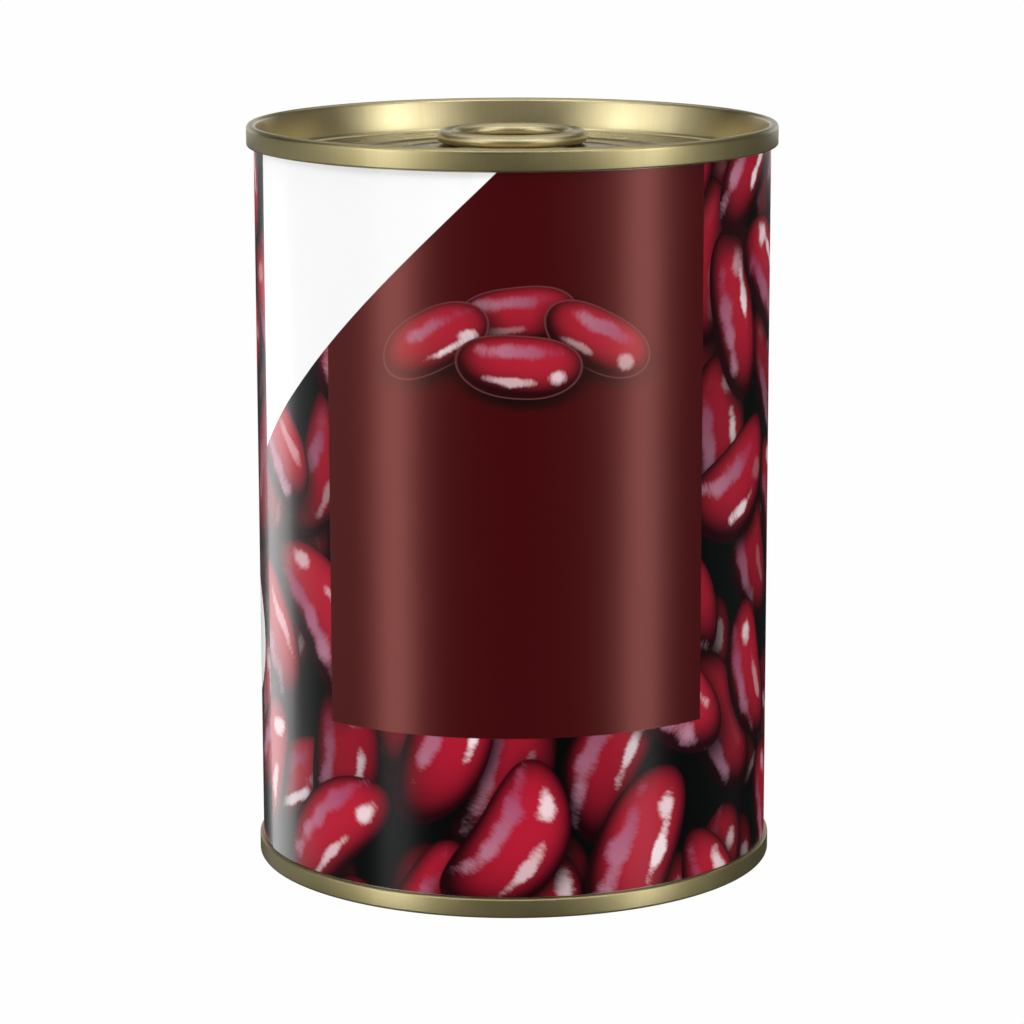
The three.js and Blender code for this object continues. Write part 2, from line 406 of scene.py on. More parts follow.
def makeLid(material):
    f = lidForm
    top = canTop
    foot = top - f["seamHeight"]
    sunk = top - f["countersink"]
    under = sunk - f["metal"]
    inside = seamRadius - f["seamThickness"]
    fillet = f["footFillet"]
    panel = top - f["panel"]
    inner = top - f["innerPanel"]
    bead = top - f["bead"]
    profile = [
        (0, under),
        (f["wallOutside"], under),
        (f["wallOutside"], foot),
        *arc(seamRadius - f["lipRound"], foot + f["lipRound"], f["lipRound"], -90, 0, 5),
        *arc(seamRadius - f["seamRound"], top - f["seamRound"], f["seamRound"], 0, 90, 10),
        *arc(inside + f["seamRound"], top - f["seamRound"], f["seamRound"], 95, 174, 9),
        (f["wallFoot"] + f["wallLean"], sunk + fillet + f["wallStraight"]),
        *arc(f["wallFoot"] - fillet, sunk + fillet, fillet, -5, -90, 8),
        (f["wallFoot"] - f["footFlat"], sunk),
        *arc(
            f["wallFoot"] - f["footFlat"] - f["footTurn"], sunk + f["footRise"], f["footRise"],
            -100, -150, 3,
        ),
        *[(f["score"] + reach, panel + rise) for reach, rise in f["panelStart"]],
        (f["score"] + f["scoreHalf"], panel),
        (f["score"], panel - f["scoreDepth"]),
        (f["score"] - f["scoreHalf"], panel),
        *[(f["beadOuter"] + reach, panel + rise) for reach, rise in f["beadOuterCurve"]],
        *[(f["beadInner"] + reach, bead + rise) for reach, rise in f["beadCrown"]],
        *[(f["beadInner"] + reach, inner + rise) for reach, rise in f["beadInnerCurve"]],
        *[(f["innerEdge"] + reach, inner + rise) for reach, rise in f["innerEdgeCurve"]],
        (f["middleRing"], inner),
        (0, inner),
    ]
    lid = growRings("easyOpenEnd", profile, f["around"])
    settle(lid)
    finish(lid, "lid", material)
    print("stage: easy-open end")


# Ring pull, pressed from sheet with its edges rolled under
tabForm = {
    "ringOuter": 11.15,
    "ringHole": 7.9,
    "ringAround": 96,
    "thickness": 1.8,
    "valley": 0.35,
    "valleyHalf": 0.35,
    "valleySideShare": 0.7,
    "centre": 13.2,
    "clearance": 0.15,
    "noseMiddle": 27.3,
    "noseHalfWidth": 6.3,
    "noseHalfLength": 5.9,
    "noseThickness": 0.8,
    "noseInset": 1.3,
    "noseDip": 0.25,
    "noseRound": 0.42,
    "rivet": 28.6,
    "rivetStem": 1.7,
    "rivetPlay": 0.3,
    "rivetHead": 2.7,
    "rivetLip": 0.15,
    "rivetRound": 0.25,
    "rivetRoundRise": 0.27,
    "rivetGap": 0.05,
    "rivetRoot": 0.3,
    # the head's top: inside its edge, above the plate
    "rivetTop": ((0.6, 0.62), (1.1, 0.66), (1.4, 0.5)),
    "rivetDimple": 0.44,
    "rivetAround": 48,
}


def booleanInto(piece, other, operation):
    onlySelected(piece)
    cut = piece.modifiers.new("join", "BOOLEAN")
    cut.operation = operation
    cut.object = other
    cut.solver = "EXACT"
    bpy.ops.object.modifier_apply(modifier=cut.name)
    bpy.data.objects.remove(other)


def makeRing(bottom):
    f = tabForm
    roll = f["thickness"] / 2
    middle = bottom + roll
    web = (f["ringOuter"] + f["ringHole"]) / 2
    valleySide = middle + roll - f["valley"] * f["valleySideShare"]
    profile = [
        *arc(f["ringOuter"] - roll, middle, roll, -90, 90, 12),
        (web + f["valleyHalf"], valleySide),
        (web, middle + roll - f["valley"]),
        (web - f["valleyHalf"], valleySide),
        *arc(f["ringHole"] + roll, middle, roll, 90, 270, 12),
        (web, middle - roll + f["valley"]),
        (f["ringOuter"] - roll, middle - roll),
    ]
    ring = growRings("ringPull", profile, f["ringAround"])
    ring.location.y = f["centre"] * mm
    onlySelected(ring)
    bpy.ops.object.transform_apply(location=True, rotation=True, scale=True)
    return ring


def makeNose(bottom):
    f = tabForm
    nothingSelected()
    bpy.ops.mesh.primitive_circle_add(
        vertices=64, radius=mm, fill_type="NGON",
        location=(0, f["noseMiddle"] * mm, bottom * mm),
    )
    nose = bpy.context.object
    bpy.ops.object.mode_set(mode="EDIT")
    bpy.ops.mesh.select_all(action="SELECT")
    bpy.ops.transform.resize(
        value=(f["noseHalfWidth"], f["noseHalfLength"], 1),
        center_override=(0, f["noseMiddle"] * mm, bottom * mm),
    )
    bpy.ops.mesh.extrude_region_move(TRANSFORM_OT_translate={"value": (0, 0, f["noseThickness"] * mm)})
    bpy.ops.mesh.inset(thickness=f["noseInset"] * mm, depth=0)
    bpy.ops.transform.translate(value=(0, 0, -f["noseDip"] * mm))
    bpy.ops.mesh.select_all(action="SELECT")
    bpy.ops.mesh.normals_make_consistent(inside=False)
    bpy.ops.object.mode_set(mode="OBJECT")
    onlySelected(nose)
    bevel = nose.modifiers.new("rolledEdge", "BEVEL")
    bevel.width = f["noseRound"] * mm
    bevel.segments = 4
    bevel.limit_method = "ANGLE"
    bevel.angle_limit = math.radians(12)
    bpy.ops.object.modifier_apply(modifier=bevel.name)
    bpy.ops.object.transform_apply(location=True, rotation=True, scale=True)
    return nose


def makeTab(material):
    f = tabForm
    bottom = canTop - lidForm["bead"] + f["clearance"]
    tab = makeRing(bottom)
    booleanInto(tab, makeNose(bottom), "UNION")
    radius = f["rivetStem"] + f["rivetPlay"]
    low, high = bottom - 1, bottom + 3
    hole = growRings("rivetHole", [(0, low), (radius, low), (radius, high), (0, high)], f["rivetAround"])
    hole.location.y = f["rivet"] * mm
    booleanInto(tab, hole, "DIFFERENCE")
    settle(tab, 50)
    finish(tab, "pull_tab", material)
    print("stage: ring pull")


def makeRivet(material):
    f = tabForm
    plate = canTop - lidForm["bead"] + f["clearance"] + f["noseThickness"] - f["noseDip"] + f["rivetGap"]
    root = canTop - lidForm["innerPanel"] - f["rivetRoot"]
    head = f["rivetHead"]
    profile = [
        (0, root),
        (f["rivetStem"], root),
        (f["rivetStem"], plate),
        (head - f["rivetLip"], plate),
        *arc(head - f["rivetRound"], plate + f["rivetRoundRise"], f["rivetRound"], -60, 60, 5),
        *[(head - inset, plate + rise) for inset, rise in f["rivetTop"]],
        (0, plate + f["rivetDimple"]),
    ]
    rivet = growRings("tabRivet", profile, f["rivetAround"])
    rivet.location.y = f["rivet"] * mm
    settle(rivet)
    finish(rivet, "lid", material)


# Base end, millimetres up from the floor
baseForm = {
    "around": 192,
    "seamHeight": 2.8,
    "seamThickness": 1.3,
    "seamRound": 0.4,
    "lipRound": 0.3,
    "wallFoot": 35.3,
    "wallOutside": 35.95,
    "countersink": 4.3,
    # inside the wall's foot, above the countersink's top
    "countersinkCurve": ((1.5, -0.12), (1.1, 0), (0.5, -0.08), (0.1, -0.4), (0, -0.8)),
    "panel": 3.5,
    # inside the wall's foot, above the panel
    "panelStart": ((2.0, 0), (1.8, 0.08)),
    "ringRadii": (30.5, 26.5, 22.0),
    "ringHeights": (3.1, 3.5, 3.1),
    "ringSlope": 1.1,
    # shares of a ring's slope: outside its radius, up its step
    "ringCurve": ((0.5, 0), (0.3, 0.1), (0, 0.5), (-0.3, 0.9), (-0.5, 1)),
    "top": 4.8,
}


def makeBase(material):
    f = baseForm
    inside = baseRadius - f["seamThickness"]
    rings = []
    height = f["panel"]
    for radius, nextHeight in zip(f["ringRadii"], f["ringHeights"]):
        step = nextHeight - height
        for share, rise in f["ringCurve"]:
            rings.append((radius + f["ringSlope"] * share, height + step * rise))
        height = nextHeight
    profile = [
        (0, height),
        *rings[::-1],
        *[(f["wallFoot"] - inset, f["panel"] + rise) for inset, rise in f["panelStart"]],
        *[(f["wallFoot"] - inset, f["countersink"] + rise) for inset, rise in f["countersinkCurve"]],
        *arc(inside + f["seamRound"], f["seamRound"], f["seamRound"], 183, 270, 8),
        *arc(baseRadius - f["seamRound"], f["seamRound"], f["seamRound"], 270, 360, 8),
        *arc(baseRadius - f["lipRound"], f["seamHeight"] - f["lipRound"], f["lipRound"], 0, 90, 5),
        (f["wallOutside"], f["seamHeight"]),
        (f["wallOutside"], f["top"]),
        (0, f["top"]),
    ]
    base = growRings("baseEnd", profile, f["around"])
    settle(base)
    finish(base, "base", material)
    print("stage: base end")


# Tin wall, seen only as a hair of metal above and below the label
wallForm = {"radius": 36.9, "gap": 0.05, "around": 192}

tin = {"colour": "b9bab6", "spangleScale": 400.0, "roughness": (0.25, 0.4)}


def tinplate():
    material, tree = newMaterial("tinplate")
    place = addNode(tree, "ShaderNodeTexCoord").outputs["Object"]
    spangle = addNode(
        tree, "ShaderNodeTexNoise", {}, {"Vector": place, "Scale": tin["spangleScale"], "Detail": 2.0},
    )
    smooth, dull = tin["roughness"]
    rough = addNode(tree, "ShaderNodeMapRange", {}, {0: spangle.outputs[0], 3: smooth, 4: dull})
    shader = addNode(
        tree, "ShaderNodeBsdfPrincipled", {},
        {"Base Color": srgb(tin["colour"]), "Metallic": 1.0, "Roughness": rough.outputs[0]},
    )
    addNode(tree, "ShaderNodeOutputMaterial", inputs={"Surface": shader})
    return material


def makeWall(material):
    f = wallForm
    gap = f["gap"]
    bodyTop = canTop - lidForm["countersink"] - lidForm["metal"] - gap
    rimTop = canTop - lidForm["seamHeight"] - gap
    rimInside = lidForm["wallOutside"] + gap
    skirtInside = baseForm["wallOutside"] + gap
    profile = [
        (0, baseForm["top"] + gap),
        (skirtInside, baseForm["top"] + gap),
        (skirtInside, baseForm["seamHeight"] + gap),
        (f["radius"], baseForm["seamHeight"] + gap),
        (f["radius"], rimTop),
        (rimInside, rimTop),
        (rimInside, bodyTop),
        (0, bodyTop),
    ]
    wall = growRings("tinWall", profile, f["around"])
    settle(wall)
    finish(wall, "can_body", material)
    print("stage: tin wall")


# Paper label. Places on it are in millimetres: across from the front middle, and up from the floor
labelForm = {
    "inside": 36.95,
    "paper": 0.12,
    "paperShare": 0.9,
    "low": 2.95,
    "high": 104.05,
    "leftEdge": -45.4,
    "overlap": 7.0,
    "ramp": 5.0,
    "columns": 160,
    "rows": 68,
}

# Fields of the print, in the same places
fields = {
    "panelLeft": -28.1,
    "panelRight": 29.1,
    "panelLow": 25.7,
    "cornerFoot": 62.4,
    "cornerSlope": 0.963,
    "disc": (174.5, 33.0, 9.2),
    "backLeft": 72.0,
    "backRight": 146.0,
    "backLow": 8.0,
}

# The beans of the print, in millimetres; closeness weighs distance across and up
beans = {
    "seed": 181,
    "layerTones": (0.34, 0.66, 1.0),
    "tries": 600,
    "margin": 8,
    "ups": (-6, 112),
    "closeness": (1.3, 0.8),
    "spacing": 17.0,
    "halfLength": (10.4, 13.8),
    "halfWidth": (5.3, 7.0),
    "meanTurn": -4,
    "lean": 33,
    "tones": (0.85, 1.05),
    "bends": (0, 0.006, -0.006, 0.014, -0.014, 0.024, -0.02),
    "bluntness": 2.5,
    "farthest": 21,
    "covered": 0.97,
    "spots": 4,
    "perCell": 6,
    "shadowReach": 1.36,
}

# Right of the panel the beans are drawn a little darker: from, to and share
duller = (29, 75, 0.86)


# Each bean: across, up, turn from upright, half length, half width, bend, tone,
# on the panel or not, its own draw
def scatterBeans():
    draw = random.Random(beans["seed"])
    width = 2 * math.pi * labelForm["inside"] + labelForm["overlap"]
    margin = beans["margin"]
    acrossWeight, upWeight = beans["closeness"]
    dullFrom, dullTo, dullShare = duller
    placed = []
    for tone in beans["layerTones"]:
        taken = []
        for _ in range(beans["tries"]):
            across = labelForm["leftEdge"] + draw.uniform(-margin, width + margin)
            up = draw.uniform(*beans["ups"])
            apart = [math.hypot((across - a) * acrossWeight, (up - u) * upWeight) for a, u in taken]
            if any(gap < beans["spacing"] for gap in apart):
                continue
            taken.append((across, up))
            turn = math.radians(draw.gauss(beans["meanTurn"], beans["lean"]))
            length = draw.uniform(*beans["halfLength"])
            wide = draw.uniform(*beans["halfWidth"])
            own = tone * draw.uniform(*beans["tones"])
            if dullFrom < across < dullTo:
                own *= dullShare
            bend = draw.choice(beans["bends"])
            placed.append((across, up, turn, length, wide, bend, own, 0.0, draw.random()))
    return placed


# A few loose beans in the middle of the panel
panelBeans = [
    (0.6, 84.6, math.radians(-84), 8.2, 4.0, 0.004, 0.74, 1.0, 0.15),
    (-11.0, 81.2, math.radians(-62), 8.3, 4.2, -0.006, 0.80, 1.0, 0.8),
    (11.8, 81.0, math.radians(-118), 8.4, 4.2, 0.005, 0.80, 1.0, 0.3),
    (0.8, 77.6, math.radians(-94), 8.8, 4.4, 0.006, 0.86, 1.0, 0.45),
]


def insideBean(bean, across, up, reach):
    dx = across - bean[0]
    dy = up - bean[1]
    c, s = math.cos(bean[2]), math.sin(bean[2])
    along = -dx * s + dy * c
    side = dx * c + dy * s + bean[5] * along * along
    return (side / bean[4]) ** 2 + abs(along / bean[3]) ** beans["bluntness"] < reach * reach


def onPanel(across, up):
    front = fields["panelLeft"] < across < fields["panelRight"] and up > fields["panelLow"]
    back = fields["backLeft"] < across < fields["backRight"] and up > fields["backLow"]
    return front or back


# The topmost beans over one cell of the sheet, uppermost first
def beansOver(cell, allBeans):
    left, right, low, high = cell
    steps = beans["spots"]
    spots = [
        (left + (right - left) * i / (steps - 1), low + (high - low) * j / (steps - 1))
        for i in range(steps) for j in range(steps)
    ]
    panelSpots = [onPanel(*spot) for spot in spots]
    found = []
    bare = [True] * len(spots)
    for bean in allBeans:
        if math.hypot(bean[0] - left, bean[1] - low) > beans["farthest"]:
            continue
        matching = [p == (bean[7] > 0.5) for p in panelSpots]
        near = [insideBean(bean, *spot, beans["shadowReach"]) for spot in spots]
        if not any(n and b and m for n, b, m in zip(near, bare, matching)):
            continue
        found.append(bean)
        if len(found) == beans["perCell"]:
            break
        for i, spot in enumerate(spots):
            if matching[i] and insideBean(bean, *spot, beans["covered"]):
                bare[i] = False
        if not any(bare):
            break
    return found


def rollSheet(sheet):
    f = labelForm
    radius = f["inside"] + f["paper"] / 2
    for vertex in sheet.data.vertices:
        past = vertex.co.x / mm - f["leftEdge"]
        ease = min(max((past - f["overlap"]) / f["ramp"], 0), 1)
        lift = f["paper"] * (1 - ease * ease * (3 - 2 * ease))
        turn = vertex.co.x / mm / radius
        out = (radius + lift) * mm
        vertex.co = (out * math.sin(turn), -out * math.cos(turn), vertex.co.z)


def printOnSheet(sheet):
    f = labelForm
    mesh = sheet.data
    allBeans = panelBeans[::-1] + scatterBeans()[::-1]
    nowhere = (-900.0, -900.0, 0.0, 1.0, 1.0, 0.0, 0.0, 0.0, 0.0)
    rows = {}
    for face in mesh.polygons:
        spots = [mesh.vertices[i].co / mm for i in face.vertices]
        cell = (
            min(p.x for p in spots), max(p.x for p in spots),
            min(p.z for p in spots), max(p.z for p in spots),
        )
        found = beansOver(cell, allBeans)
        rows[face.index] = found + [nowhere] * (beans["perCell"] - len(found))
    for order in range(beans["perCell"]):
        for title, first in (("beanPlace", 0), ("beanForm", 3), ("beanLook", 6)):
            layer = mesh.attributes.new(title + str(order), "FLOAT_VECTOR", "FACE")
            for face in mesh.polygons:
                layer.data[face.index].vector = rows[face.index][order][first:first + 3]
    place = mesh.attributes.new("printPlace", "FLOAT_VECTOR", "POINT")
    for vertex in mesh.vertices:
        place.data[vertex.index].vector = (vertex.co.x / mm, vertex.co.z / mm, 0)


def makeLabel(outside, inside):
    f = labelForm
    width = 2 * math.pi * (f["inside"] + f["paper"] / 2) + f["overlap"]
    height = f["high"] - f["low"]
    nothingSelected()
    bpy.ops.mesh.primitive_grid_add(x_subdivisions=f["columns"], y_subdivisions=f["rows"], size=1)
    sheet = bpy.context.object
    sheet.name = sheet.data.name = "paperLabel"
    bpy.ops.object.mode_set(mode="EDIT")
    bpy.ops.mesh.select_all(action="SELECT")
    bpy.ops.transform.resize(value=(width * mm, height * mm, 1), center_override=(0, 0, 0))
    bpy.ops.object.mode_set(mode="OBJECT")
    for vertex in sheet.data.vertices:
        vertex.co = (
            vertex.co.x + (width / 2 + f["leftEdge"]) * mm, 0,
            vertex.co.y + (height / 2 + f["low"]) * mm,
        )
    printOnSheet(sheet)
    rollSheet(sheet)
    onlySelected(sheet)
    thick = sheet.modifiers.new("paper", "SOLIDIFY")
    thick.thickness = f["paper"] * f["paperShare"] * mm
    thick.offset = 0
    thick.material_offset = 1
    thick.material_offset_rim = 1
    sheet.data.materials.append(outside)
    sheet.data.materials.append(inside)
    bpy.ops.object.modifier_apply(modifier=thick.name)
    settle(sheet, 30)
    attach(sheet, "root")
    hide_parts("label")
    print("stage: label,", len(sheet.data.polygons), "faces")


# Print colours, as ink on white paper
ink = {
    "gap": "050707",
    "beanDeep": "22030a",
    "bean": "b01830",
    "sheen": "a04a6c",
    "sheenPale": "bd8aa0",
    "spark": "f4e0e5",
    "fineRim": "a05a5c",
    "maroon": "3c0106",
    "white": "eeeeee",
}


# Reflections on a bean, in its own half widths and half lengths: middle, how far the bean's own
# draw moves it, half sizes, softness and strength
shine = {
    "sheen": {
        "middle": (-0.46, -0.12),
        "spread": (0.08, 0.24),
        "half": (0.22, 0.60),
        "soft": 0.5,
        "strength": 0.8,
    },
    "streak": {
        "middle": (0.44, -0.34),
        "spread": (0.08, 0.56),
        "half": (0.14, 0.34),
        "soft": 0.42,
        "strength": 0.95,
    },
    "tip": {
        "middle": (0.2, 0.62),
        "spread": (0.2, -0.06),
        "half": (0.24, 0.14),
        "soft": 0.45,
        "strength": 0.8,
    },
}

# Shading of a bean's body, its wrinkles, fine outline and shadow, in its own half sizes
skin = {
    "slope": 0.62,
    "light": (0.22, 0.42, 0.86),
    "litFrom": 0.15,
    "rim": (-0.05, 0.9),
    "wrinklesApart": (90, 0, 90),
    "wrinkleStretch": (0.7, 1.7, 1.0),
    "wrinkleScale": 1.3,
    "swellScale": 0.32,
    "swell": 1.5,
    "markEdge": 2.1,
    "secondDraw": 7.3,
    "fullFrom": 0.5,
    "sheenPaleFrom": (0.5, -0.7),
    "fineLine": (0.93, 0.985, 0.3),
    "outline": (0.975, 1.015),
    "shadowFall": (-0.3, 0.9, 0),
    "shadowCore": 0.82,
    "shadowStrength": 0.95,
}


# One bean as it lies in the print: its outline, its own shading and the shadow under it
def beanGroup():
    tree = bpy.data.node_groups.new("printedBean", "ShaderNodeTree")
    for title in ("Place", "Bean place", "Bean form", "Bean look"):
        tree.interface.new_socket(title, in_out="INPUT", socket_type="NodeSocketVector")
    tree.interface.new_socket("Panel", in_out="INPUT", socket_type="NodeSocketFloat")
    tree.interface.new_socket("Under", in_out="INPUT", socket_type="NodeSocketColor")
    tree.interface.new_socket("Colour", in_out="OUTPUT", socket_type="NodeSocketColor")
    given = addNode(tree, "NodeGroupInput")
    at = addNode(tree, "ShaderNodeSeparateXYZ", inputs={0: given.outputs["Bean place"]})
    form = addNode(tree, "ShaderNodeSeparateXYZ", inputs={0: given.outputs["Bean form"]})
    look = addNode(tree, "ShaderNodeSeparateXYZ", inputs={0: given.outputs["Bean look"]})

    # the place on the bean, turned upright and bent straight
    away = addNode(
        tree, "ShaderNodeVectorMath", {"operation": "SUBTRACT"},
        {0: given.outputs["Place"], 1: given.outputs["Bean place"]},
    )
    flat = addNode(tree, "ShaderNodeVectorMath", {"operation": "MULTIPLY"}, {0: away, 1: (1, 1, 0)})
    own = addNode(
        tree, "ShaderNodeVectorRotate", {"rotation_type": "Z_AXIS", "invert": True},
        {"Vector": flat, "Angle": at.outputs[2]},
    )
    sides = addNode(tree, "ShaderNodeSeparateXYZ", inputs={0: own})
    square = addNode(tree, "ShaderNodeMath", {"operation": "POWER"}, {0: sides.outputs[1], 1: 2.0})
    bent = addNode(
        tree, "ShaderNodeMath", {"operation": "MULTIPLY_ADD"},
        {0: square, 1: form.outputs[2], 2: sides.outputs[0]},
    )
    across = addNode(tree, "ShaderNodeMath", {"operation": "DIVIDE"}, {0: bent, 1: form.outputs[1]})
    along = addNode(
        tree, "ShaderNodeMath", {"operation": "DIVIDE"}, {0: sides.outputs[1], 1: form.outputs[0]},
    )
    spot = addNode(tree, "ShaderNodeCombineXYZ", inputs={0: across, 1: along})

    # blunt-ended outline, and how high the bean stands inside it
    acrossSquare = addNode(tree, "ShaderNodeMath", {"operation": "MULTIPLY"}, {0: across, 1: across})
    alongPlain = addNode(tree, "ShaderNodeMath", {"operation": "ABSOLUTE"}, {0: along})
    alongBlunt = addNode(
        tree, "ShaderNodeMath", {"operation": "POWER"}, {0: alongPlain, 1: beans["bluntness"]},
    )
    reach = addNode(tree, "ShaderNodeMath", {"operation": "ADD"}, {0: acrossSquare, 1: alongBlunt})
    distance = addNode(tree, "ShaderNodeMath", {"operation": "SQRT"}, {0: reach})
    left = addNode(tree, "ShaderNodeMath", {"operation": "SUBTRACT", "use_clamp": True}, {0: 1.0, 1: reach})
    height = addNode(tree, "ShaderNodeMath", {"operation": "SQRT"}, {0: left})

    # body colour by the way the skin faces: deep at the rim, crimson where the light falls
    slope = addNode(tree, "ShaderNodeMath", {"operation": "MULTIPLY"}, {0: along, 1: skin["slope"]})
    facing = addNode(tree, "ShaderNodeCombineXYZ", inputs={0: across, 1: slope, 2: height})
    turned = addNode(
        tree, "ShaderNodeVectorRotate", {"rotation_type": "Z_AXIS"},
        {"Vector": facing, "Angle": at.outputs[2]},
    )
    light = addNode(
        tree, "ShaderNodeVectorMath", {"operation": "DOT_PRODUCT"},
        {0: turned, 1: Vector(skin["light"]).normalized()},
    )
    lit = addNode(
        tree, "ShaderNodeMapRange", {"interpolation_type": "SMOOTHSTEP"},
        {0: light.outputs[1], 1: skin["litFrom"], 2: 1.0},
    )
    body = addNode(
        tree, "ShaderNodeMix", {"data_type": "RGBA"},
        {0: lit.outputs[0], 6: srgb(ink["beanDeep"]), 7: srgb(ink["bean"])},
    )
    rimFrom, rimTo = skin["rim"]
    rim = addNode(
        tree, "ShaderNodeMapRange", {"interpolation_type": "SMOOTHSTEP"},
        {0: height, 1: rimFrom, 2: rimTo},
    )
    colour = addNode(
        tree, "ShaderNodeMix", {"data_type": "RGBA"},
        {0: rim.outputs[0], 6: srgb(ink["beanDeep"]), 7: body},
    )

    # ragged edges for the reflections, from the wrinkles of the wet skin
    grainPlace = addNode(
        tree, "ShaderNodeVectorMath", {"operation": "MULTIPLY_ADD"},
        {0: given.outputs["Bean look"], 1: skin["wrinklesApart"], 2: own},
    )
    stretched = addNode(
        tree, "ShaderNodeVectorMath", {"operation": "MULTIPLY"},
        {0: grainPlace, 1: skin["wrinkleStretch"]},
    )
    grain = addNode(
        tree, "ShaderNodeTexNoise", {"noise_dimensions": "3D"},
        {"Vector": stretched, "Scale": skin["wrinkleScale"], "Detail": 4.0, "Roughness": 0.65},
    )
    swell = addNode(
        tree, "ShaderNodeTexNoise", {"noise_dimensions": "3D"},
        {"Vector": grainPlace, "Scale": skin["swellScale"], "Detail": 0.0},
    )
    ragged = addNode(
        tree, "ShaderNodeMath", {"operation": "MULTIPLY_ADD"},
        {0: swell.outputs[0], 1: skin["swell"], 2: grain.outputs[0]},
    )
    # a second draw from the bean's own, by the fraction of a multiple of it
    chance = addNode(
        tree, "ShaderNodeMath", {"operation": "MULTIPLY"}, {0: look.outputs[2], 1: skin["secondDraw"]},
    )
    chanceOwn = addNode(tree, "ShaderNodeMath", {"operation": "FRACT"}, {0: chance})
    deepEnd, paleEnd = skin["sheenPaleFrom"]
    fade = addNode(tree, "ShaderNodeMapRange", {}, {0: along, 1: deepEnd, 2: paleEnd})
    lilac = addNode(
        tree, "ShaderNodeMix", {"data_type": "RGBA"},
        {0: fade.outputs[0], 6: srgb(ink["sheen"]), 7: srgb(ink["sheenPale"])},
    )
    for title, mark in shine.items():
        drift = addNode(
            tree, "ShaderNodeCombineXYZ",
            inputs={0: chanceOwn, 1: look.outputs[2] if title == "sheen" else chanceOwn},
        )
        middle = addNode(
            tree, "ShaderNodeVectorMath", {"operation": "MULTIPLY_ADD"},
            {0: drift, 1: (*mark["spread"], 0), 2: (*mark["middle"], 0)},
        )
        off = addNode(tree, "ShaderNodeVectorMath", {"operation": "SUBTRACT"}, {0: spot, 1: middle})
        scaled = addNode(
            tree, "ShaderNodeVectorMath", {"operation": "DIVIDE"}, {0: off, 1: (*mark["half"], 1)},
        )
        length = addNode(tree, "ShaderNodeVectorMath", {"operation": "LENGTH"}, {0: scaled})
        worn = addNode(
            tree, "ShaderNodeMath", {"operation": "ADD"},
            {0: length.outputs[1], 1: ragged},
        )
        # each bean has its own share of the white reflections
        share = mark["strength"]
        if title != "sheen":
            shareDraw = look.outputs[2] if title == "tip" else chanceOwn
            share = addNode(
                tree, "ShaderNodeMapRange", {},
                {0: shareDraw, 1: 0.0, 2: skin["fullFrom"], 4: mark["strength"]},
            )
        inner = skin["markEdge"] - mark["soft"]
        outer = skin["markEdge"] + mark["soft"]
        inside = addNode(
            tree, "ShaderNodeMapRange", {"interpolation_type": "SMOOTHSTEP"},
            {0: worn, 1: inner, 2: outer, 3: share, 4: 0.0},
        )
        colour = addNode(
            tree, "ShaderNodeMix", {"data_type": "RGBA"},
            {0: inside.outputs[0], 6: colour, 7: lilac if title == "sheen" else srgb(ink["spark"])},
        )
    toned = addNode(
        tree, "ShaderNodeMix", {"data_type": "RGBA", "blend_type": "MULTIPLY"},
        {0: 1.0, 6: colour, 7: look.outputs[0]},
    )
    lineFrom, lineTo, lineStrength = skin["fineLine"]
    line = addNode(
        tree, "ShaderNodeMapRange", {"interpolation_type": "SMOOTHSTEP"},
        {0: distance, 1: lineFrom, 2: lineTo, 4: lineStrength},
    )
    lineShown = addNode(
        tree, "ShaderNodeMath", {"operation": "MULTIPLY"}, {0: line.outputs[0], 1: look.outputs[1]},
    )
    rimmed = addNode(
        tree, "ShaderNodeMix", {"data_type": "RGBA"},
        {0: lineShown, 6: toned, 7: srgb(ink["fineRim"])},
    )

    # the panel's own beans show on it alone, all others off it alone
    apart = addNode(
        tree, "ShaderNodeMath", {"operation": "SUBTRACT"},
        {0: look.outputs[1], 1: given.outputs["Panel"]},
    )
    other = addNode(tree, "ShaderNodeMath", {"operation": "ABSOLUTE"}, {0: apart})
    shown = addNode(
        tree, "ShaderNodeMath", {"operation": "SUBTRACT", "use_clamp": True}, {0: 1.0, 1: other},
    )

    # the shadow falls a little below the bean
    fall = addNode(
        tree, "ShaderNodeVectorRotate", {"rotation_type": "Z_AXIS", "invert": True},
        {"Vector": skin["shadowFall"], "Angle": at.outputs[2]},
    )
    size = addNode(tree, "ShaderNodeCombineXYZ", inputs={0: form.outputs[1], 1: form.outputs[0], 2: 1.0})
    fallOwn = addNode(tree, "ShaderNodeVectorMath", {"operation": "DIVIDE"}, {0: fall, 1: size})
    dropped = addNode(tree, "ShaderNodeVectorMath", {"operation": "ADD"}, {0: spot, 1: fallOwn})
    under = addNode(tree, "ShaderNodeVectorMath", {"operation": "LENGTH"}, {0: dropped})
    shadow = addNode(
        tree, "ShaderNodeMapRange", {"interpolation_type": "SMOOTHSTEP"},
        {
            0: under.outputs[1], 1: skin["shadowCore"], 2: beans["shadowReach"],
            3: skin["shadowStrength"], 4: 0.0,
        },
    )
    shadowShown = addNode(
        tree, "ShaderNodeMath", {"operation": "MULTIPLY"}, {0: shadow.outputs[0], 1: shown},
    )
    shaded = addNode(
        tree, "ShaderNodeMix", {"data_type": "RGBA"},
        {0: shadowShown, 6: given.outputs["Under"], 7: srgb(ink["gap"])},
    )
    outlineFrom, outlineTo = skin["outline"]
    outline = addNode(
        tree, "ShaderNodeMapRange", {"interpolation_type": "SMOOTHSTEP"},
        {0: distance, 1: outlineFrom, 2: outlineTo, 3: 1.0, 4: 0.0},
    )
    outlineShown = addNode(
        tree, "ShaderNodeMath", {"operation": "MULTIPLY"}, {0: outline.outputs[0], 1: shown},
    )
    layered = addNode(
        tree, "ShaderNodeMix", {"data_type": "RGBA"}, {0: outlineShown, 6: shaded, 7: rimmed},
    )
